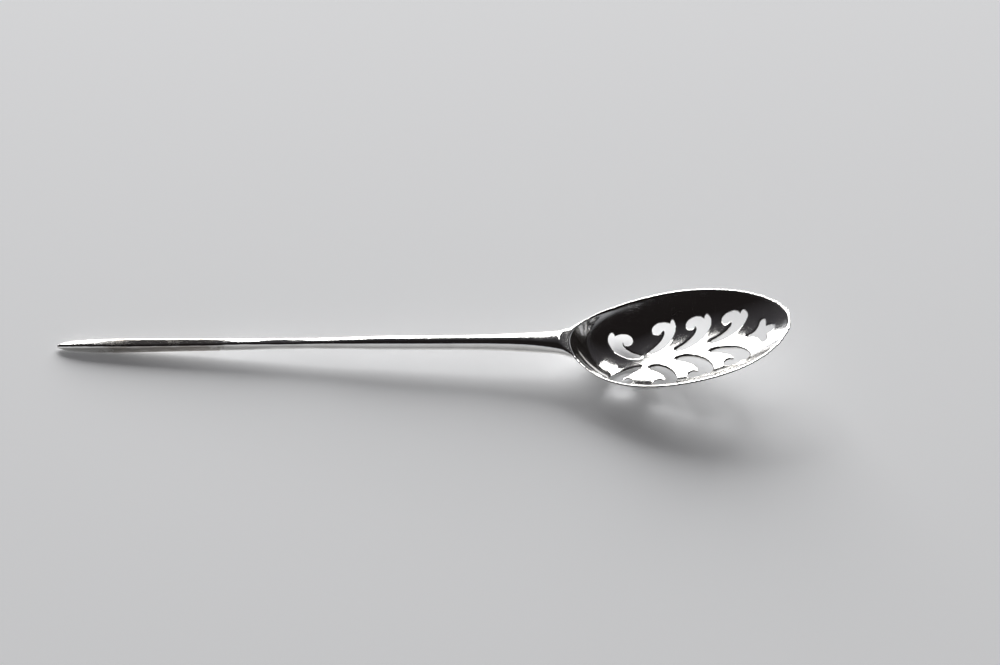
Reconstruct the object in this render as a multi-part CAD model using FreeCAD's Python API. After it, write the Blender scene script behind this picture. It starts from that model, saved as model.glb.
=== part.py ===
import FreeCAD, Part
import math
import os

# A silver mote spoon: a small pierced bowl for skimming leaves from a tea cup, on a long
# slender stem whose pointed end clears the strainer of a teapot spout. It is forged from
# one bar, so it is one solid. Millimetres. +X runs from the point of the stem to the tip
# of the bowl, +Y is the left side and +Z is up. The spoon lies as it rests: on the back
# of its bowl and on the underside of its point. The origin is on the table, under the
# middle of its length. The lengthwise places below are measured from the point of the
# stem, and the finished spoon is moved to the origin at the end.

# Whole spoon
overall_length = 136.0

# Outline of the bowl, seen from above
bowl_length = 41.4
bowl_width = 24.1
heel_pinch_share = 0.31
heel_pinch_power = 9

# Rim seen from the side: its height at the neck, the middle and the tip, how fast it
# rises at the middle, and how much its ends curve up. Heights are above one level line
# that table_shift moves onto the table.
rim_neck_height = 6.55
rim_middle_height = 7.6
rim_tip_height = 13.35
rim_middle_rise = 5.15
rim_end_lift = 2.4

# Width of the flat rim, seen from above
side_land = 0.72
tip_land = 0.72
heel_land = 1.3

# Hollow of the bowl: depth at the middle, roundness, and how far it deepens to the heel
hollow_depth = 4.75
hollow_roundness_ratio = 0.9
hollow_heel_bias_ratio = 0.6

# Back of the bowl, in the same terms
wall = 0.55
back_roundness_ratio = 0.75
back_heel_bias_ratio = 0.46

# Depth worn off the lowest part of the back, which leaves a small flat that it rests on
wear_depth = 0.04

# Square end of the stem: four-sided point, widest place and waist. The shares are of the
# way from the point to the neck, and the corners of the square are filed off.
point_length = 14.0
point_bluntness = 3.5
point_tip_side = 0.5
point_side = 2.1
waist_share = 0.44
waist_side = 1.75
corner_cut = 0.32

# Round part of the stem, a bar that starts inside the square part and grows out of it
root_share = 0.53
root_diameter = 1.2
round_share = 0.634
round_diameter = 2.55
throat_before_neck = 14.6
throat_diameter = 2.9
stem_bow = 0.28

# Flare from the stem into the shoulders of the bowl, which starts inside the round part
flare_start_before_neck = 11.8
flare_start_diameter = 2.7
round_end_before_neck = 8.4
round_end_diameter = 3.24
flare_length = 7.6
flare_width = 3.7
flare_depth = 3.36
neck_width = 5.6
neck_depth = 3.3
neck_crown = 0.4
shoulder_reach = 3.6
shoulder_width = 9.0
shoulder_depth = 4.6

# Drop: the raised tongue on the back of the bowl that stiffens the neck
drop_length = 6.0
drop_width = 4.6
drop_height = 0.45

# Piercing: four pairs of scrolls along a plain spine, and a bud at the tip. Each pair of
# shares is of the bowl's length and of its width, so the pattern keeps to the bowl. The
# place of a scroll's tail is counted from the neck and from the centre line.
heel_scroll_tail_shares = (0.367, 0.058)
heel_scroll_size_shares = (0.159, 0.212)
first_scroll_tail_shares = (0.384, 0.073)
first_scroll_size_shares = (0.121, 0.270)
second_scroll_tail_shares = (0.498, 0.037)
second_scroll_size_shares = (0.163, 0.282)
third_scroll_tail_shares = (0.643, 0.039)
third_scroll_size_shares = (0.174, 0.224)
curl_size_shares = (0.081, 0.095)
heel_curl_lift_share = -0.0124
first_curl_lift_share = -0.0124
second_curl_lift_share = 0.0
third_curl_lift_share = 0.0104
bud_start_share = 0.787
bud_size_shares = (0.138, 0.224)

# Working allowances that leave no mark on the finished spoon: how far the dished surfaces
# and the rim's surface reach past the bowl's outline, the height of the solids above them,
# how far a saw cut goes to either side of the wall, and how finely the surfaces are drawn
outline_margin_ratio = 1.12
cover_margin_ratio = 1.25
tool_height = 60.0
cutter_reach = 1.8
places_along = 25
places_across = 17

neck_x = overall_length - bowl_length
half_length = bowl_length / 2
half_width = bowl_width / 2
middle_x = neck_x + half_length
hollow_heel_x = neck_x + heel_land
hollow_half_length = (overall_length - tip_land - hollow_heel_x) / 2
hollow_middle_x = hollow_heel_x + hollow_half_length
hollow_half_width = half_width - side_land
back_depth = hollow_depth + wall
waist_x = neck_x * waist_share
root_x = neck_x * root_share
round_x = neck_x * round_share


def steps_between(start, end, count):
    return [start + (end - start) * i / (count - 1) for i in range(count)]


def along(x):
    """Place along the bowl: -1 at the neck, 0 at the middle, 1 at the tip."""
    return (x - middle_x) / half_length


def rim_height(x):
    """Height of the rim above the level line, a curve that lifts at both ends."""
    u = along(x)
    mean_end = (rim_tip_height + rim_neck_height) / 2
    half_difference = (rim_tip_height - rim_neck_height) / 2
    square_term = mean_end - rim_middle_height - rim_end_lift
    cube_term = half_difference - rim_middle_rise
    return (rim_middle_height + rim_middle_rise * u + square_term * u**2
            + cube_term * u**3 + rim_end_lift * u**4)


def dish(x, radius_squared, depth, roundness, heel_bias):
    """Drop below the rim of a dished surface, zero where radius_squared is one."""
    form = (1 - radius_squared) * (1 + roundness * radius_squared)
    return depth * form * (1 - heel_bias * along(x))


def hollow_drop(x, y):
    u = (x - hollow_middle_x) / hollow_half_length
    v = y / hollow_half_width
    return dish(x, u * u + v * v, hollow_depth, hollow_roundness_ratio, hollow_heel_bias_ratio)


def outline_taper(u):
    """Share of the plain ellipse's width that the outline keeps, less towards the heel."""
    return 1 - heel_pinch_share * ((1 - u) / 2)**heel_pinch_power


def back_drop(x, y):
    u = along(x)
    v = y / (half_width * outline_taper(u))
    return dish(x, u * u + v * v, back_depth, back_roundness_ratio, back_heel_bias_ratio)


def lowest_back():
    """Height of the lowest point of the back, above the same level line as the rim."""
    places = steps_between(neck_x, overall_length, 200)
    return min(rim_height(x) - back_drop(x, 0) for x in places)


table_shift = -lowest_back() - wear_depth


def rim_z(x):
    return rim_height(x) + table_shift


# Height of the middle of the stem where it meets the bowl: the top of the stem stands
# proud of the rim there, so the rim cuts a clean facet across it
neck_centre = rim_z(neck_x) + neck_crown - neck_depth / 2


def hollow_z(x, y):
    return rim_z(x) - hollow_drop(x, y)


def back_z(x, y):
    return rim_z(x) - back_drop(x, y)


def surface_through(rows):
    surface = Part.BSplineSurface()
    surface.interpolate(rows)
    return surface.toShape()


def raised(face):
    """Solid that fills the space above a surface."""
    return face.extrude(FreeCAD.Vector(0, 0, tool_height))


def space_above_hollow():
    rows = []
    for u in steps_between(-outline_margin_ratio, outline_margin_ratio, places_along):
        x = hollow_middle_x + hollow_half_length * u
        row = []
        for v in steps_between(-outline_margin_ratio, outline_margin_ratio, places_across):
            y = hollow_half_width * v
            row.append(FreeCAD.Vector(x, y, hollow_z(x, y)))
        rows.append(row)
    return raised(surface_through(rows))


def space_above_back(lowered=0.0):
    rows = []
    for u in steps_between(-outline_margin_ratio, outline_margin_ratio, places_along):
        x = middle_x + half_length * u
        row = []
        for v in steps_between(-outline_margin_ratio, outline_margin_ratio, places_across):
            y = half_width * outline_taper(u) * v
            row.append(FreeCAD.Vector(x, y, back_z(x, y) - lowered))
        rows.append(row)
    return raised(surface_through(rows))


def space_above_rim():
    """Everything over the gently curved surface that the rim lies in."""
    reach = half_length * cover_margin_ratio
    side = half_width * cover_margin_ratio
    places = steps_between(middle_x - reach, middle_x + reach, places_along)
    line = Part.BSplineCurve()
    line.interpolate([FreeCAD.Vector(x, -side, rim_z(x)) for x in places])
    sheet = line.toShape().extrude(FreeCAD.Vector(0, 2 * side, 0))
    return sheet.extrude(FreeCAD.Vector(0, 0, 2 * tool_height))


def space_below_table():
    size = 2 * overall_length
    return Part.makeBox(size, size, tool_height, FreeCAD.Vector(0, -size / 2, -tool_height))


def point_half_side(share):
    """Half side of the pointed end, at a share of the way to its widest place."""
    half_side = point_side / 2 * math.sqrt(1 - (1 - share)**point_bluntness)
    return max(half_side, point_tip_side / 2)


def square_stations():
    """Distance from the point and half side, from the tip to the end of the square part."""
    shares = (0.0, 0.08, 0.17, 0.3, 0.5, 0.72, 1.0)
    stations = [(point_length * share, point_half_side(share)) for share in shares]
    return stations + [(waist_x, waist_side / 2), (round_x, waist_side / 2)]


def height_of_point():
    """Height of the stem's middle at its tip, such that its underside just rests."""
    heights = []
    for x, half in square_stations():
        share = x / neck_x
        bow = stem_bow * x / round_x
        heights.append((half - bow - neck_centre * share) / (1 - share))
    return max(heights)


point_z = height_of_point()
bend_z = point_z + (neck_centre - point_z) * round_share + stem_bow


def laid_along(shape, start_x, start_z, end_x, end_z):
    """Tilt a shape made along the X axis so that it runs from one height to another."""
    tilt = math.degrees(math.atan2(end_z - start_z, end_x - start_x))
    shape.rotate(FreeCAD.Vector(start_x, 0, 0), FreeCAD.Vector(0, -1, 0), tilt)
    shape.translate(FreeCAD.Vector(0, 0, start_z))
    return shape


def square_section(x, half):
    """Square with its corners filed off."""
    cut = min(corner_cut, half / 2)
    near = half - cut
    corners = [(half, near), (near, half), (-near, half), (-half, near),
               (-half, -near), (-near, -half), (near, -half), (half, -near)]
    points = [FreeCAD.Vector(x, y, z) for y, z in corners]
    return Part.makePolygon(points + points[:1])


def square_part():
    """Bar of flat faces from station to station."""
    wires = [square_section(x, half) for x, half in square_stations()]
    return laid_along(Part.makeLoft(wires, True, True), 0, point_z, round_x, bend_z)


def round_part():
    """Round bar that grows out of the square part, and tapers on towards the bowl."""
    end_x = neck_x - round_end_before_neck
    profile = [(root_x, 0), (root_x, root_diameter / 2), (round_x, round_diameter / 2),
               (neck_x - throat_before_neck, throat_diameter / 2),
               (end_x, round_end_diameter / 2), (end_x, 0)]
    points = [FreeCAD.Vector(x, y, 0) for x, y in profile]
    half_view = Part.Face(Part.makePolygon(points + points[:1]))
    bar = half_view.revolve(FreeCAD.Vector(0, 0, 0), FreeCAD.Vector(1, 0, 0), 360)
    return laid_along(bar, round_x, bend_z, neck_x, neck_centre)


def oval_section(x, width, depth):
    """Closed oval around the stem's middle line, in an upper and a lower half."""
    share = (x - round_x) / (neck_x - round_x)
    centre_z = bend_z + (neck_centre - bend_z) * share
    count = 8
    points = []
    for i in range(count):
        angle = 2 * math.pi * i / count
        z = centre_z + depth / 2 * math.sin(angle)
        points.append(FreeCAD.Vector(x, width / 2 * math.cos(angle), z))
    upper = Part.BSplineCurve()
    upper.interpolate(points, PeriodicFlag=True, Parameters=range(count + 1))
    lower = upper.copy()
    upper.segment(0, count / 2)
    lower.segment(count / 2, count)
    return Part.Wire([upper.toShape(), lower.toShape()])


def flare():
    """The stem's spread into the shoulders of the bowl, from inside the round bar."""
    start_x = neck_x - flare_start_before_neck
    wires = [oval_section(start_x, flare_start_diameter, flare_start_diameter),
             oval_section(neck_x - flare_length, flare_width, flare_depth),
             oval_section(neck_x, neck_width, neck_depth),
             oval_section(neck_x + shoulder_reach, shoulder_width, shoulder_depth)]
    return Part.makeLoft(wires, True, False)


def drop():
    """Tongue on the back, straight from inside the neck and round at its end."""
    nose_x = neck_x + drop_length - drop_width / 2
    half = drop_width / 2
    corners = [FreeCAD.Vector(nose_x, -half, 0), FreeCAD.Vector(neck_x, -half, 0),
               FreeCAD.Vector(neck_x, half, 0), FreeCAD.Vector(nose_x, half, 0)]
    sides = Part.makePolygon(corners).Edges
    nose = Part.Arc(corners[3], FreeCAD.Vector(nose_x + half, 0, 0), corners[0]).toShape()
    outline = Part.Face(Part.Wire(sides + [nose]))
    outline.translate(FreeCAD.Vector(0, 0, neck_centre))
    tongue = outline.extrude(FreeCAD.Vector(0, 0, -tool_height))
    return tongue.common(space_above_back(drop_height))


def curve_through(points):
    curve = Part.BSplineCurve()
    curve.interpolate(points)
    return curve.toShape()


def square_to_wall(strokes, centre_x, centre_y):
    """Cutter for an opening sawn square to the wall of the bowl.

    The strokes are open runs of plan points that join end to end. They are laid on the
    plane that touches the hollow at the centre, and the closed outline is driven through
    the wall along that plane's normal.
    """
    step = 0.01
    slope_x = (hollow_z(centre_x + step, centre_y) - hollow_z(centre_x - step, centre_y)) / (2 * step)
    slope_y = (hollow_z(centre_x, centre_y + step) - hollow_z(centre_x, centre_y - step)) / (2 * step)
    centre_z = hollow_z(centre_x, centre_y)
    normal = FreeCAD.Vector(-slope_x, -slope_y, 1)
    normal.normalize()
    edges = []
    for stroke in strokes:
        laid = []
        for x, y in stroke:
            z = centre_z + slope_x * (x - centre_x) + slope_y * (y - centre_y)
            laid.append(FreeCAD.Vector(x, y, z) + normal * cutter_reach)
        edges.append(curve_through(laid))
    return Part.Face(Part.Wire(edges)).extrude(normal * (-2 * cutter_reach))


def of_bowl(shares):
    return bowl_length * shares[0], bowl_width * shares[1]


def scroll(tail_shares, size_shares, curl_lift_share, facing, side):
    """Scroll opening: a tail that swells into a pointed leaf and a round curl.

    Facing is 1 for a scroll that leans to the tip and -1 for one that leans to the heel;
    side is 1 for the left of the spoon and -1 for the right. The points of the tail and
    leaf are shares of the scroll's length and width, starting from its tail. Those of
    the curl are shares of the curl's own length and height, starting from the notch.
    """
    tail_end = (0.0, 0.03)
    leaf_tip = (0.91, 1.0)
    notch = (0.84, 0.84)
    belly = [tail_end, (0.25, 0.0), (0.5, 0.08), (0.74, 0.24), (0.92, 0.48), (1.0, 0.74), leaf_tip]
    leaf = [leaf_tip, (0.86, 0.93), notch]
    curl = [(0.22, 0.28), (0.52, 0.37), (0.84, 0.25), (1.0, -0.06), (0.93, -0.4), (0.72, -0.53),
            (0.55, -0.36)]
    back = [(0.6, 0.7), (0.62, 0.6), (0.56, 0.45), (0.41, 0.28), (0.21, 0.14), tail_end]

    from_neck, tail_y = of_bowl(tail_shares)
    tail_x = neck_x + from_neck
    length, width = of_bowl(size_shares)
    curl_length, curl_height = of_bowl(curl_size_shares)

    def place(points):
        return [(tail_x + facing * length * p, side * (tail_y + width * q)) for p, q in points]

    def place_curl(points):
        notch_x = tail_x + facing * length * notch[0]
        notch_y = tail_y + width * notch[1] + bowl_width * curl_lift_share
        return [(notch_x - facing * curl_length * p, side * (notch_y + curl_height * q))
                for p, q in points]

    curl_run = place([notch]) + place_curl(curl)
    back_run = [curl_run[-1]] + place(back)
    centre_x = tail_x + facing * length * 0.6
    centre_y = side * (tail_y + width * 0.55)
    return square_to_wall([place(belly), place(leaf), curl_run, back_run], centre_x, centre_y)


def bud():
    """Opening at the tip: a tail that opens into two round side lobes and a pointed one."""
    tail_end = (0.0, 0.0)
    tip = (1.0, 0.0)
    side_run = [tail_end, (0.2, 0.06), (0.4, 0.22), (0.54, 0.62), (0.62, 0.97), (0.7, 0.97),
                (0.74, 0.7), (0.72, 0.32)]
    tip_run = [(0.72, 0.32), (0.82, 0.3), (0.93, 0.2), tip]
    bud_x = neck_x + bowl_length * bud_start_share
    length, width = of_bowl(bud_size_shares)

    def place(points, side):
        return [(bud_x + length * p, side * width / 2 * q) for p, q in points]

    left_side = place(side_run, 1)
    left_tip = place(tip_run, 1)
    right_tip = place(tip_run, -1)[::-1]
    right_side = place(side_run, -1)[::-1]
    return square_to_wall([left_side, left_tip, right_tip, right_side], bud_x + length * 0.6, 0.0)


def piercings():
    scrolls = [
        (heel_scroll_tail_shares, heel_scroll_size_shares, heel_curl_lift_share, -1),
        (first_scroll_tail_shares, first_scroll_size_shares, first_curl_lift_share, 1),
        (second_scroll_tail_shares, second_scroll_size_shares, second_curl_lift_share, 1),
        (third_scroll_tail_shares, third_scroll_size_shares, third_curl_lift_share, 1)]
    return [bud()] + [scroll(*places, side) for places in scrolls for side in (1, -1)]


def mote_spoon():
    blank = space_above_back().fuse([square_part(), round_part(), flare(), drop()])
    blank = blank.cut([space_above_rim(), space_below_table()])
    blank = blank.cut(space_above_hollow())
    return blank.cut(piercings())


os.makedirs("parts", exist_ok=True)
spoon = mote_spoon().Solids[0]
spoon.translate(FreeCAD.Vector(-overall_length / 2, 0, 0))
spoon.exportStep("parts/mote_spoon.step")
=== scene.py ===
import math

import bpy
from mathutils import Matrix, Vector


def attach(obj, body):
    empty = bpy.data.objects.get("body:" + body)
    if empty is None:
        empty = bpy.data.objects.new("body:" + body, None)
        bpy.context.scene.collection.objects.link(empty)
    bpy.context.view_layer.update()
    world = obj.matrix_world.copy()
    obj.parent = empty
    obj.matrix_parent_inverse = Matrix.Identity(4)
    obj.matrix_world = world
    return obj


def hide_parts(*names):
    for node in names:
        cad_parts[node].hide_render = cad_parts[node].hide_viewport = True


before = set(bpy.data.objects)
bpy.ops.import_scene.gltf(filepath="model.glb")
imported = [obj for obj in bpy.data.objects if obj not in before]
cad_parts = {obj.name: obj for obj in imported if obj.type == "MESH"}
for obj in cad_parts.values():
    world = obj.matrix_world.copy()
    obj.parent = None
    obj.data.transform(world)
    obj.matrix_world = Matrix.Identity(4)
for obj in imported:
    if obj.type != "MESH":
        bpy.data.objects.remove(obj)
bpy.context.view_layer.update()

MM = 0.001

# The spoon's own sizes. It lies along X with the point of its stem at the left, and the
# bowl takes up the right-hand end of the box that the solids fill.
POINT_X, TIP_X = -68.0 * MM, 68.0 * MM

# Outline of the bowl, with the share of its width that it loses at the heel, and how
# closely that loss keeps to the heel
BOWL_LENGTH = 41.4 * MM
BOWL_WIDTH = 24.1 * MM
HEEL_PINCH, HEEL_PINCH_POWER = 0.31, 9

# Rim seen from the side: its heights, how fast it rises at the middle, and how much its
# ends curve up
RIM_AT_NECK, RIM_AT_MIDDLE, RIM_AT_TIP = 6.94 * MM, 7.99 * MM, 13.74 * MM
RIM_RISE = 5.15 * MM
RIM_END_LIFT = 2.4 * MM

# Width of the flat rim seen from above
SIDE_LAND, TIP_LAND, HEEL_LAND = 0.72 * MM, 0.72 * MM, 1.3 * MM

# Hollow and back of the bowl: depth at the middle, roundness, and how far it deepens to
# the heel
HOLLOW_DEPTH, HOLLOW_ROUNDNESS, HOLLOW_HEEL_BIAS = 4.75 * MM, 0.9, 0.6
BACK_DEPTH, BACK_ROUNDNESS, BACK_HEEL_BIAS = 5.3 * MM, 0.75, 0.46

NECK_X = TIP_X - BOWL_LENGTH
HALF_LENGTH = BOWL_LENGTH / 2
HALF_WIDTH = BOWL_WIDTH / 2
MIDDLE_X = NECK_X + HALF_LENGTH
HOLLOW_HALF_LENGTH = (BOWL_LENGTH - HEEL_LAND - TIP_LAND) / 2
HOLLOW_MIDDLE_X = NECK_X + HEEL_LAND + HOLLOW_HALF_LENGTH
HOLLOW_HALF_WIDTH = HALF_WIDTH - SIDE_LAND

# The drop, a tongue on the back of the bowl, with softened edges
DROP_LENGTH, DROP_WIDTH = 6.0 * MM, 4.6 * MM
DROP_HEIGHT, DROP_EDGE = 0.45 * MM, 0.5 * MM

# Stations of the stem, in millimetres: distance from its point, width, depth and height of
# its middle. Then squareness, which is 2 for a round section and more for a square one,
# and the degrees that its top leans to the left, because a forged bar is a little twisted.
STEM_STATIONS = (
    (0.0, 0.5, 0.5, 0.64, 5.0, 0.0),
    (1.1, 1.06, 1.06, 0.70, 6.0, 2.0),
    (2.4, 1.45, 1.45, 0.78, 7.0, 3.0),
    (4.2, 1.76, 1.76, 0.89, 7.0, 3.0),
    (7.0, 1.99, 1.99, 1.05, 7.0, 2.0),
    (10.0, 2.08, 2.08, 1.22, 7.0, -1.0),
    (14.0, 2.1, 2.1, 1.46, 7.0, -4.0),
    (28.0, 1.93, 1.93, 2.28, 7.0, -4.0),
    (35.5, 1.85, 1.85, 2.71, 6.0, 6.0),
    (43.0, 1.77, 1.77, 3.16, 5.0, -1.0),
    (49.0, 1.8, 1.8, 3.51, 4.0, 6.0),
    (54.5, 2.05, 2.05, 3.83, 3.2, 8.0),
    (60.0, 2.36, 2.36, 4.13, 2.9, 8.0),
    (70.0, 2.54, 2.54, 4.61, 2.8, 8.0),
    (80.0, 2.72, 2.7, 5.06, 2.8, 8.0),
    (87.0, 3.5, 3.1, 5.38, 2.8, 8.0),
    (91.0, 4.35, 3.2, 5.56, 2.7, 6.0),
    (94.6, 5.6, 3.35, 5.73, 2.3, 2.0),
    (98.2, 9.0, 4.6, 5.9, 2.0, 0.0))

# Fineness of the stem's bar, which is cut twice over, and of the balls that the dished
# forms are pressed from
STEM_SIDES, STEM_CUTS, STEM_CUT_ROUNDS = 64, 18, 2
BALL_SEGMENTS, BALL_RINGS = 256, 128

# How far the rim's surface reaches over the stem, as a share of half the bowl's length
RIM_REACH = 0.25

# Openings of the piercing, as shares of each scroll's own length and width from its tail,
# and for the curl as shares of the curl's own size back from the notch. The saw stands
# square to the wall at the scroll's centre.
SCROLL_BELLY = ((0.0, 0.03), (0.25, 0.0), (0.5, 0.08), (0.74, 0.24), (0.92, 0.48), (1.0, 0.74),
                (0.91, 1.0))
SCROLL_LEAF = ((0.91, 1.0), (0.86, 0.93), (0.84, 0.84))
SCROLL_CURL = ((0.22, 0.28), (0.52, 0.37), (0.84, 0.25), (1.0, -0.06), (0.93, -0.4),
               (0.72, -0.53), (0.55, -0.36))
SCROLL_BACK = ((0.6, 0.7), (0.62, 0.6), (0.56, 0.45), (0.41, 0.28), (0.21, 0.14), (0.0, 0.03))
SCROLL_NOTCH = (0.84, 0.84)
SCROLL_CENTRE = (0.6, 0.55)
CURL_LENGTH, CURL_HEIGHT = 3.35 * MM, 2.3 * MM

# Each pair of scrolls: tail from the neck and from the centre line, length, width, lift of
# the curl, and 1 if it leans to the tip or -1 if it leans to the heel
SCROLL_PAIRS = (
    (15.2 * MM, 1.4 * MM, 6.6 * MM, 5.1 * MM, -0.3 * MM, -1),
    (15.9 * MM, 1.75 * MM, 5.0 * MM, 6.5 * MM, -0.3 * MM, 1),
    (20.6 * MM, 0.9 * MM, 6.75 * MM, 6.8 * MM, 0.0, 1),
    (26.6 * MM, 0.95 * MM, 7.2 * MM, 5.4 * MM, 0.25 * MM, 1))

# The bud at the tip: one side and half of its pointed end, as shares of its length and of
# half its width, and the share of its length where the saw stands square to the wall
BUD_SIDE = ((0.0, 0.0), (0.2, 0.06), (0.4, 0.22), (0.54, 0.62), (0.62, 0.97), (0.7, 0.97),
            (0.74, 0.7), (0.72, 0.32))
BUD_TIP = ((0.72, 0.32), (0.82, 0.3), (0.93, 0.2), (1.0, 0.0))
BUD_START, BUD_LENGTH, BUD_WIDTH = 32.6 * MM, 5.7 * MM, 5.4 * MM
BUD_CENTRE = 0.6

# Saw cuts: how far each goes to either side of the wall, the steps of its curves from
# point to point, the step that the wall's slope is felt over, and the gap that closes
# where two strokes meet
CUT_REACH = 1.8 * MM
CURVE_STEPS = 10
SLOPE_STEP = 0.01 * MM
STROKE_GAP = 0.002 * MM

# Fineness of the finished skin, and how far its edges are worn round
SKIN_SIZE = 0.19 * MM
WEAR_PASSES, WEAR_SHARE = 10, 0.5

# Old silver: its colours, and the shares of grey in the tarnish, of brown in the duller
# stretch of the stem, where the brown is partly tarnish and partly painted shade, and of
# bright metal in the file marks there
BRIGHT_SILVER = (0.93, 0.92, 0.895, 1)
GREY_SILVER, GREY_SHARE = (0.72, 0.70, 0.67, 1), 0.55
# Brown of the duller stretch: partly tarnish, partly painted shade that darkens its faces
BROWN_SILVER_AND_SHADE, BROWN_AND_SHADE_SHARE = (0.42, 0.38, 0.34, 1), 0.8
FILE_BRIGHT_SHARE = 0.5

# Clouds, each with its scale and detail, and the run of a pattern's values that counts
TARNISH_CLOUD, TARNISH_RUN = (160, 6), (0.42, 0.7)
RAGGED_CLOUD, RAGGED_RUN, RAGGED_REACH = (900, 3), (0.3, 0.7), 1.5 * MM
UNEVEN_CLOUD = (420, 2)
STREAK_CLOUD = (1.0, 2.0)

# Streaks: hair scratches, each with its turn and length, and the marks of the file
HAIR_MARKS = ((12, 5 * MM), (-34, 4 * MM), (63, 3 * MM))
HAIR_WIDTH, HAIR_RUN = 0.07 * MM, (0.6, 0.72)
FILE_TURN, FILE_WIDTH, FILE_LENGTH, FILE_RUN = -58, 0.22 * MM, 2.6 * MM, (0.45, 0.65)

# The duller stretch of the stem, whose colour is also painted darker as shade, then what
# roughens the silver, and what sinks into it
DULL_SHADED_START, DULL_SHADED_END, DULL_SHADED_FADE = -59.5 * MM, -36.0 * MM, 3.0 * MM
BRIGHT_ROUGHNESS, TARNISH_ROUGHNESS = 0.08, 0.17
HAIR_ROUGHNESS, DULL_ROUGHNESS = 0.12, 0.06
HAIR_DEPTH, FILE_DEPTH = 0.5, 1.0
RELIEF_STRENGTH, RELIEF_HEIGHT = 0.15, 0.008 * MM

# The table
TABLE_COLOUR = (0.88, 0.885, 0.895, 1)
TABLE_ROUGHNESS = 0.7
TABLE_GLOW = 0.12
FLOOR_SIZE = 8.0

# Light: low windows behind the spoon, and a dim room over a pale horizon. A pane has its
# direction along the table in degrees, counted from the tip of the bowl, the degrees that
# its middle is above the table, its width and its height. The places of the room's changes
# of tone are sines of the angle upwards and towards the windows.
WINDOW_DISTANCE = 3.0
WINDOW_PANES = ((108.7, 21.8, 1.8, 1.8), (81.5, 24.5, 0.62, 2.0), (65.5, 24.5, 0.62, 2.0))
WINDOW_BRIGHTNESS = 6.5
ROOM_PALE, ROOM_PALE_TO = (0.55, 0.56, 0.6, 1), 0.12
ROOM_UNLIT, ROOM_UNLIT_FROM = (0, 0, 0, 1), 0.3
ROOM_DARK = (0.011, 0.0095, 0.0095, 1)
ROOM_NEAR_WINDOW = (0.045, 0.043, 0.048, 1)
NEAR_WINDOW_FROM, NEAR_WINDOW_TO = 0.0, 0.7

# The view of the photograph, in metres and radians. The camera looks down at the table
# from the near side, and the spoon lies turned a little in front of it.
VIEW_DISTANCE = 0.4
VIEW_ELEVATION = math.radians(46.5)
VIEW_TURN = 0.039
VIEW_LEFT = -0.01504
VIEW_NEAR = -0.00685
LENS = 76.35
SENSOR_WIDTH = 36.0
NEAREST_SEEN = 0.01


def deselect_all():
    if bpy.context.mode != "OBJECT":
        bpy.ops.object.mode_set(mode="OBJECT")
    bpy.ops.object.select_all(action="DESELECT")


def make_active(piece):
    deselect_all()
    piece.select_set(True)
    bpy.context.view_layer.objects.active = piece


def along(x):
    """Place along the bowl: -1 at the neck, 0 at the middle, 1 at the tip."""
    return (x - MIDDLE_X) / HALF_LENGTH


def rim_z(x):
    """Height of the rim, a curve that lifts at both ends."""
    u = along(x)
    square_term = (RIM_AT_TIP + RIM_AT_NECK) / 2 - RIM_AT_MIDDLE - RIM_END_LIFT
    cube_term = (RIM_AT_TIP - RIM_AT_NECK) / 2 - RIM_RISE
    return (RIM_AT_MIDDLE + RIM_RISE * u + square_term * u**2 + cube_term * u**3
            + RIM_END_LIFT * u**4)


def dish(x, radius_squared, depth, roundness, heel_bias):
    """Drop below the rim of a dished surface, zero where radius_squared is one."""
    form = (1 - radius_squared) * (1 + roundness * radius_squared)
    return depth * form * (1 - heel_bias * along(x))


def hollow_z(x, y):
    u = (x - HOLLOW_MIDDLE_X) / HOLLOW_HALF_LENGTH
    v = y / HOLLOW_HALF_WIDTH
    return rim_z(x) - dish(x, u**2 + v**2, HOLLOW_DEPTH, HOLLOW_ROUNDNESS, HOLLOW_HEEL_BIAS)


def outline_taper(u):
    """Share of the plain oval's width that the outline keeps, less towards the heel."""
    return 1 - HEEL_PINCH * ((1 - u) / 2)**HEEL_PINCH_POWER


def eased(share):
    """Share that leaves 0 and reaches 1 gently."""
    share = min(max(share, 0.0), 1.0)
    return share * share * (3 - 2 * share)


def drop_bump(x, y):
    """How far the drop stands out of the back."""
    nose_x = NECK_X + DROP_LENGTH - DROP_WIDTH / 2
    from_middle = math.hypot(max(x - nose_x, 0.0), y)
    return DROP_HEIGHT * eased((DROP_WIDTH / 2 - from_middle) / DROP_EDGE + 0.5)


def back_z(u, v):
    """Height of the back, worn flat where it rests on the table."""
    x = MIDDLE_X + HALF_LENGTH * u
    y = HALF_WIDTH * outline_taper(u) * v
    bulge = dish(x, u * u + v * v, BACK_DEPTH, BACK_ROUNDNESS, BACK_HEEL_BIAS)
    return max(rim_z(x) - bulge - min(drop_bump(x, y), bulge), 0.0)


def ball(name):
    """Ball that the dished forms are pressed from."""
    deselect_all()
    bpy.ops.mesh.primitive_uv_sphere_add(segments=BALL_SEGMENTS, ring_count=BALL_RINGS,
                                         radius=1.0)
    piece = bpy.context.active_object
    piece.name = name
    return piece


def bowl_blank():
    """Solid blank of the bowl: its back below and the level of its rim above."""
    piece = ball("bowl_blank")
    for corner in piece.data.vertices:
        u, v, height = corner.co
        x = MIDDLE_X + HALF_LENGTH * u
        y = HALF_WIDTH * outline_taper(u) * v
        corner.co = (x, y, back_z(u, v) if height < 0 else rim_z(x))
    return piece


def hollow_punch():
    """Punch that sinks the hollow into the blank."""
    piece = ball("hollow_punch")
    for corner in piece.data.vertices:
        u, v, height = corner.co
        x = HOLLOW_MIDDLE_X + HOLLOW_HALF_LENGTH * u
        y = HOLLOW_HALF_WIDTH * v
        corner.co = (x, y, hollow_z(x, y) if height < 0 else rim_z(x) + BOWL_WIDTH * height)
    return piece


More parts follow.
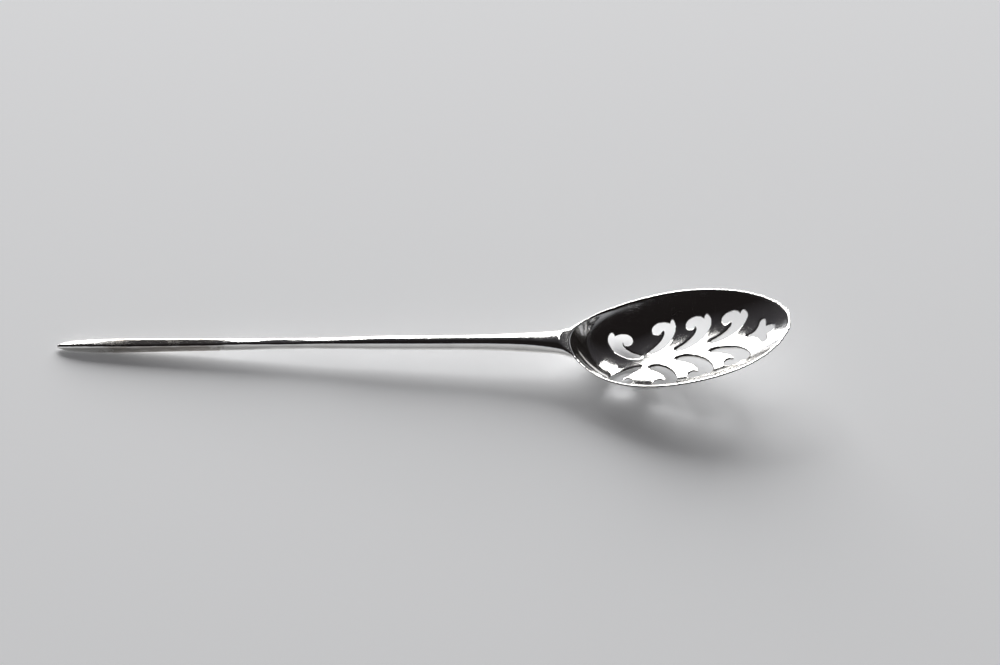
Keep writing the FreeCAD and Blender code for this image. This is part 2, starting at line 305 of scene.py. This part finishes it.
def station_value(distance, column):
    """Value between the stem's stations, on a curve that passes smoothly through them."""
    places = [row[0] for row in STEM_STATIONS]
    last = len(places) - 1
    i = 0
    while i < last - 1 and distance > places[i + 1]:
        i += 1

    def value(k):
        return STEM_STATIONS[k][column]

    def slope(k):
        before, after = max(k - 1, 0), min(k + 1, last)
        return (value(after) - value(before)) / (places[after] - places[before])

    step = places[i + 1] - places[i]
    t = (distance - places[i]) / step
    return ((2 * t**3 - 3 * t**2 + 1) * value(i) + (t**3 - 2 * t**2 + t) * step * slope(i)
            + (3 * t**2 - 2 * t**3) * value(i + 1) + (t**3 - t**2) * step * slope(i + 1))


def long_bar(length):
    """Round bar along X, with its long edges cut into short ones."""
    deselect_all()
    bpy.ops.mesh.primitive_cylinder_add(vertices=STEM_SIDES, radius=1.0, depth=length,
                                        rotation=(0, math.pi / 2, 0))
    piece = bpy.context.active_object
    piece.name = "stem"
    bpy.ops.object.transform_apply(location=False, rotation=True, scale=True)
    bpy.ops.object.mode_set(mode="EDIT")
    bpy.ops.mesh.select_mode(type="EDGE")
    bpy.ops.mesh.select_all(action="DESELECT")
    bpy.ops.object.mode_set(mode="OBJECT")
    for edge in piece.data.edges:
        start, end = (piece.data.vertices[i].co for i in edge.vertices)
        edge.select = abs(start.x - end.x) > length / 2
    bpy.ops.object.mode_set(mode="EDIT")
    for round_of_cuts in range(STEM_CUT_ROUNDS):
        bpy.ops.mesh.subdivide(number_cuts=STEM_CUTS)
    bpy.ops.object.mode_set(mode="OBJECT")
    return piece


def stem():
    """Stem from a long bar: squarish with a blunt point, then rounder, then flared.

    The surface of the bowl's rim cuts a facet across the top of the flare.
    """
    length = STEM_STATIONS[-1][0]
    piece = long_bar(length)
    for corner in piece.data.vertices:
        distance = corner.co.x + length / 2
        width, depth, middle, squareness, lean = (station_value(distance, column)
                                                  for column in range(1, 6))
        across, up = corner.co.y, corner.co.z
        reach = (abs(across)**squareness + abs(up)**squareness)**(-1 / squareness)
        across, up, lean = width / 2 * across * reach, depth / 2 * up * reach, math.radians(lean)
        x = POINT_X + distance * MM
        y = (across * math.cos(lean) + up * math.sin(lean)) * MM
        z = max(middle + up * math.cos(lean) - across * math.sin(lean), 0.0) * MM
        if along(x) > -1 - RIM_REACH:
            z = min(z, rim_z(x))
        corner.co = (x, y, z)
    return piece


def stroke(points):
    """Smooth line through plan points, as a string of vertices."""
    curve = bpy.data.curves.new("stroke", "CURVE")
    curve.dimensions = "3D"
    curve.resolution_u = CURVE_STEPS
    spline = curve.splines.new("BEZIER")
    spline.bezier_points.add(len(points) - 1)
    for knot, (x, y) in zip(spline.bezier_points, points):
        knot.co = (x, y, 0)
        knot.handle_left_type = "AUTO"
        knot.handle_right_type = "AUTO"
    line = bpy.data.objects.new("stroke", curve)
    bpy.context.scene.collection.objects.link(line)
    make_active(line)
    bpy.ops.object.convert(target="MESH")
    return bpy.context.active_object


def saw_cut(name, strokes, centre_x, centre_y):
    """Cutter for one opening, driven square to the wall of the bowl at its centre."""
    lines = [stroke(points) for points in strokes]
    make_active(lines[0])
    for line in lines[1:]:
        line.select_set(True)
    bpy.ops.object.join()
    piece = bpy.context.active_object
    piece.name = name

    slope_x = (hollow_z(centre_x + SLOPE_STEP, centre_y)
               - hollow_z(centre_x - SLOPE_STEP, centre_y)) / (2 * SLOPE_STEP)
    slope_y = (hollow_z(centre_x, centre_y + SLOPE_STEP)
               - hollow_z(centre_x, centre_y - SLOPE_STEP)) / (2 * SLOPE_STEP)
    normal = Vector((-slope_x, -slope_y, 1)).normalized()
    centre_z = hollow_z(centre_x, centre_y)
    for corner in piece.data.vertices:
        x, y = corner.co.x, corner.co.y
        z = centre_z + slope_x * (x - centre_x) + slope_y * (y - centre_y)
        corner.co = Vector((x, y, z)) + normal * CUT_REACH

    through_wall = normal * (-2 * CUT_REACH)
    bpy.ops.object.mode_set(mode="EDIT")
    bpy.ops.mesh.select_mode(type="VERT")
    bpy.ops.mesh.select_all(action="SELECT")
    bpy.ops.mesh.remove_doubles(threshold=STROKE_GAP)
    bpy.ops.mesh.select_all(action="SELECT")
    bpy.ops.mesh.edge_face_add()
    bpy.ops.mesh.extrude_region_move(TRANSFORM_OT_translate={"value": through_wall})
    bpy.ops.mesh.select_all(action="SELECT")
    bpy.ops.mesh.normals_make_consistent(inside=False)
    bpy.ops.object.mode_set(mode="OBJECT")
    return piece


def scroll_cut(pair, side):
    """One scroll of a pair: side is 1 for the left of the spoon and -1 for the right."""
    from_neck, tail_y, length, width, curl_lift, facing = pair
    tail_x = NECK_X + from_neck
    notch_x = tail_x + facing * length * SCROLL_NOTCH[0]
    notch_y = tail_y + width * SCROLL_NOTCH[1] + curl_lift

    def place(points):
        return [(tail_x + facing * length * p, side * (tail_y + width * q)) for p, q in points]

    curl = [(notch_x - facing * CURL_LENGTH * p, side * (notch_y + CURL_HEIGHT * q))
            for p, q in SCROLL_CURL]
    curl = place((SCROLL_NOTCH,)) + curl
    back = [curl[-1]] + place(SCROLL_BACK)
    strokes = (place(SCROLL_BELLY), place(SCROLL_LEAF), curl, back)
    return saw_cut("scroll_cut", strokes, *place((SCROLL_CENTRE,))[0])


def bud_cut():
    def place(points, side):
        return [(NECK_X + BUD_START + BUD_LENGTH * p, side * BUD_WIDTH / 2 * q)
                for p, q in points]

    strokes = (place(BUD_SIDE, 1), place(BUD_TIP, 1), place(BUD_TIP, -1), place(BUD_SIDE, -1))
    return saw_cut("bud_cut", strokes, NECK_X + BUD_START + BUD_LENGTH * BUD_CENTRE, 0.0)


def combine(piece, other, operation):
    """Join another piece to this one or take it away, and use the other one up."""
    make_active(piece)
    change = piece.modifiers.new(operation.lower(), "BOOLEAN")
    change.operation = operation
    change.object = other
    change.solver = "MANIFOLD"
    bpy.ops.object.modifier_apply(modifier=change.name)
    bpy.data.objects.remove(other)


def spoon_piece():
    """The forged and pierced spoon in one skin, with its edges worn soft."""
    piece = bowl_blank()
    combine(piece, stem(), "UNION")
    combine(piece, hollow_punch(), "DIFFERENCE")
    for pair in SCROLL_PAIRS:
        for side in (1, -1):
            combine(piece, scroll_cut(pair, side), "DIFFERENCE")
    combine(piece, bud_cut(), "DIFFERENCE")
    piece.name = "silver_spoon"

    make_active(piece)
    skin = piece.modifiers.new("skin", "REMESH")
    skin.mode = "VOXEL"
    skin.voxel_size = SKIN_SIZE
    bpy.ops.object.modifier_apply(modifier=skin.name)
    wear = piece.modifiers.new("wear", "SMOOTH")
    wear.factor = WEAR_SHARE
    wear.iterations = WEAR_PASSES
    bpy.ops.object.modifier_apply(modifier=wear.name)
    bpy.ops.object.shade_smooth()
    return piece


class Nodes:
    """Short ways to add and join the nodes of a material or of the world."""

    def __init__(self, owner):
        owner.use_nodes = True
        self.tree = owner.node_tree
        self.tree.nodes.clear()

    def add(self, kind, **settings):
        node = self.tree.nodes.new("ShaderNode" + kind)
        for name, value in settings.items():
            setattr(node, name, value)
        return node

    def feed(self, socket, value):
        """Join an input to what feeds it, or give it a plain value."""
        if isinstance(value, bpy.types.NodeSocket):
            self.tree.links.new(value, socket)
        else:
            socket.default_value = value

    def put(self, node, **inputs):
        for name, value in inputs.items():
            self.feed(node.inputs[name.replace("_", " ")], value)
        return node

    def math(self, operation, first, second):
        node = self.add("Math", operation=operation)
        self.feed(node.inputs[0], first)
        self.feed(node.inputs[1], second)
        return node.outputs[0]

    def spread(self, value, start, end, low=0.0, high=1.0):
        """Turn a run of values from start to end into one from low to high."""
        node = self.add("MapRange", interpolation_type="SMOOTHSTEP")
        self.put(node, Value=value, From_Min=start, From_Max=end, To_Min=low, To_Max=high)
        return node.outputs["Result"]

    def cloud(self, place, scale, detail):
        node = self.put(self.add("TexNoise"), Vector=place, Scale=scale, Detail=detail)
        return node.outputs["Fac"]

    def streaks(self, place, turn, across, length):
        """Long thin marks that lie along one direction of the table."""
        laid = self.put(self.add("Mapping"), Vector=place, Rotation=(0, 0, math.radians(turn)),
                        Scale=(1 / length, 1 / across, 1 / across))
        return self.cloud(laid.outputs["Vector"], *STREAK_CLOUD)

    def blend(self, share, first, second, way="MIX"):
        node = self.add("Mix", data_type="RGBA", blend_type=way)
        self.feed(node.inputs[0], share)
        self.feed(node.inputs[6], first)
        self.feed(node.inputs[7], second)
        return node.outputs[2]

    def tones(self, value, start, first, end, second):
        """Colour that runs from the first to the second as a value goes from start to end."""
        node = self.put(self.add("ValToRGB"), Fac=value)
        low, high = node.color_ramp.elements
        low.position, low.color = start, first
        high.position, high.color = end, second
        return node.outputs["Color"]


def silver():
    """Old silver: polished, with tarnish in patches, hair scratches and file marks, and a brown
    stretch on the stem that is partly tarnish and partly painted shade.
    """
    material = bpy.data.materials.new("old_silver")
    nodes = Nodes(material)
    place = nodes.add("TexCoord").outputs["Object"]
    lengthwise = nodes.put(nodes.add("SeparateXYZ"), Vector=place).outputs["X"]

    tarnish = nodes.spread(nodes.cloud(place, *TARNISH_CLOUD), *TARNISH_RUN)
    hairs = [nodes.spread(nodes.streaks(place, turn, HAIR_WIDTH, length), *HAIR_RUN)
             for turn, length in HAIR_MARKS]
    scratches = nodes.math("MAXIMUM", nodes.math("MAXIMUM", hairs[0], hairs[1]), hairs[2])

    # The outer third of the stem is duller behind its point, with slanting file marks, and its
    # colour there is painted darker, partly as tarnish and partly as painted shade
    ragged = nodes.spread(nodes.cloud(place, *RAGGED_CLOUD), *RAGGED_RUN, -RAGGED_REACH,
                          RAGGED_REACH)
    stretch_x = nodes.math("ADD", lengthwise, ragged)
    behind_point = nodes.spread(stretch_x, DULL_SHADED_START, DULL_SHADED_START + DULL_SHADED_FADE)
    before_middle = nodes.spread(stretch_x, DULL_SHADED_END - DULL_SHADED_FADE, DULL_SHADED_END, 1.0, 0.0)
    dull_and_shaded = nodes.math("MULTIPLY", behind_point, before_middle)
    filed = nodes.spread(nodes.streaks(place, FILE_TURN, FILE_WIDTH, FILE_LENGTH), *FILE_RUN)
    file_marks = nodes.math("MULTIPLY", filed, dull_and_shaded)

    grey = nodes.math("MULTIPLY", tarnish, GREY_SHARE)
    # Painted shade: the stretch behind the point is darkened to brown, partly as tarnish and
    # partly in place of the dark reflections its faces show
    brown_and_shade = nodes.math("MULTIPLY", dull_and_shaded, BROWN_AND_SHADE_SHARE)
    bright = nodes.math("MULTIPLY", file_marks, FILE_BRIGHT_SHARE)
    colour = nodes.blend(grey, BRIGHT_SILVER, GREY_SILVER)
    colour = nodes.blend(brown_and_shade, colour, BROWN_SILVER_AND_SHADE)
    colour = nodes.blend(bright, colour, BRIGHT_SILVER)

    roughness = nodes.spread(tarnish, 0.0, 1.0, BRIGHT_ROUGHNESS, TARNISH_ROUGHNESS)
    hair_roughness = nodes.math("MULTIPLY", scratches, HAIR_ROUGHNESS)
    dull_roughness = nodes.math("MULTIPLY", dull_and_shaded, DULL_ROUGHNESS)
    roughness = nodes.math("ADD", nodes.math("ADD", roughness, hair_roughness), dull_roughness)

    sunk_hairs = nodes.math("MULTIPLY", scratches, -HAIR_DEPTH)
    sunk_file_marks = nodes.math("MULTIPLY", file_marks, -FILE_DEPTH)
    height = nodes.math("ADD", sunk_hairs, sunk_file_marks)
    height = nodes.math("ADD", height, nodes.cloud(place, *UNEVEN_CLOUD))
    relief = nodes.put(nodes.add("Bump"), Height=height, Strength=RELIEF_STRENGTH,
                       Distance=RELIEF_HEIGHT)

    surface = nodes.put(nodes.add("BsdfPrincipled"), Base_Color=colour, Metallic=1.0,
                        Roughness=roughness, Normal=relief.outputs["Normal"])
    nodes.put(nodes.add("OutputMaterial"), Surface=surface.outputs["BSDF"])
    return material


def floor_and_backdrop():
    """Pale table that runs back to the horizon, a little lighter to the eye than to the lamps."""
    deselect_all()
    bpy.ops.mesh.primitive_plane_add(size=FLOOR_SIZE, location=(0, 0, 0))
    floor = bpy.context.active_object
    floor.name = "floor"
    material = bpy.data.materials.new("pale_table")
    nodes = Nodes(material)
    path = nodes.add("LightPath").outputs
    seen = nodes.math("MAXIMUM", path["Is Camera Ray"], path["Is Glossy Ray"])
    seen = nodes.math("MAXIMUM", seen, path["Is Transmission Ray"])
    glow = nodes.math("MULTIPLY", seen, TABLE_GLOW)
    surface = nodes.put(nodes.add("BsdfPrincipled"), Base_Color=TABLE_COLOUR,
                        Roughness=TABLE_ROUGHNESS, Emission_Color=TABLE_COLOUR,
                        Emission_Strength=glow)
    nodes.put(nodes.add("OutputMaterial"), Surface=surface.outputs["BSDF"])
    floor.data.materials.append(material)


def window_pane(azimuth, elevation, width, height):
    """Soft pane of light that faces the spoon, unseen by the camera itself."""
    azimuth, elevation = math.radians(azimuth), math.radians(elevation)
    towards = Vector((math.cos(elevation) * math.cos(azimuth),
                      math.cos(elevation) * math.sin(azimuth), math.sin(elevation)))
    place = towards * WINDOW_DISTANCE
    data = bpy.data.lights.new("window_pane", "AREA")
    data.shape = "RECTANGLE"
    data.size = width
    data.size_y = height
    data.energy = WINDOW_BRIGHTNESS * math.pi * width * height
    lamp = bpy.data.objects.new("window_pane", data)
    bpy.context.scene.collection.objects.link(lamp)
    lamp.location = place
    lamp.rotation_euler = (-place).to_track_quat("-Z", "Y").to_euler()
    lamp.visible_camera = False


def light():
    """The windows, and a room that is dark above them and greyer on their side."""
    for pane in WINDOW_PANES:
        window_pane(*pane)
    world = bpy.data.worlds.new("room")
    bpy.context.scene.world = world
    nodes = Nodes(world)
    way = nodes.put(nodes.add("SeparateXYZ"), Vector=nodes.add("TexCoord").outputs["Generated"])
    horizon = nodes.tones(way.outputs["Z"], ROOM_PALE_TO, ROOM_PALE, ROOM_UNLIT_FROM, ROOM_UNLIT)
    room = nodes.tones(way.outputs["Y"], NEAR_WINDOW_FROM, ROOM_DARK, NEAR_WINDOW_TO,
                       ROOM_NEAR_WINDOW)
    lighter = nodes.blend(1.0, horizon, room, "LIGHTEN")
    background = nodes.put(nodes.add("Background"), Color=lighter)
    nodes.put(nodes.add("OutputWorld"), Surface=background.outputs["Background"])


def camera():
    data = bpy.data.cameras.new("photo_view")
    data.sensor_width = SENSOR_WIDTH
    data.lens = LENS
    data.clip_start = NEAREST_SEEN
    eye = bpy.data.objects.new("photo_view", data)
    bpy.context.scene.collection.objects.link(eye)
    forward = Vector((0, math.cos(VIEW_ELEVATION), -math.sin(VIEW_ELEVATION)))
    up = Vector((0, math.sin(VIEW_ELEVATION), math.cos(VIEW_ELEVATION)))
    turned = Matrix((Vector((1, 0, 0)), up, -forward)).transposed().to_4x4()
    seen = Matrix.Translation(-forward * VIEW_DISTANCE) @ turned
    spoon_place = (Matrix.Translation((VIEW_LEFT, VIEW_NEAR, 0))
                   @ Matrix.Rotation(-VIEW_TURN, 4, "Z"))
    eye.matrix_world = spoon_place.inverted() @ seen
    bpy.context.scene.camera = eye


camera()
spoon = spoon_piece()
spoon.data.materials.clear()
spoon.data.materials.append(silver())
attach(spoon, "root")
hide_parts("mote_spoon")
floor_and_backdrop()
light()

bpy.context.scene.view_settings.view_transform = "Standard"
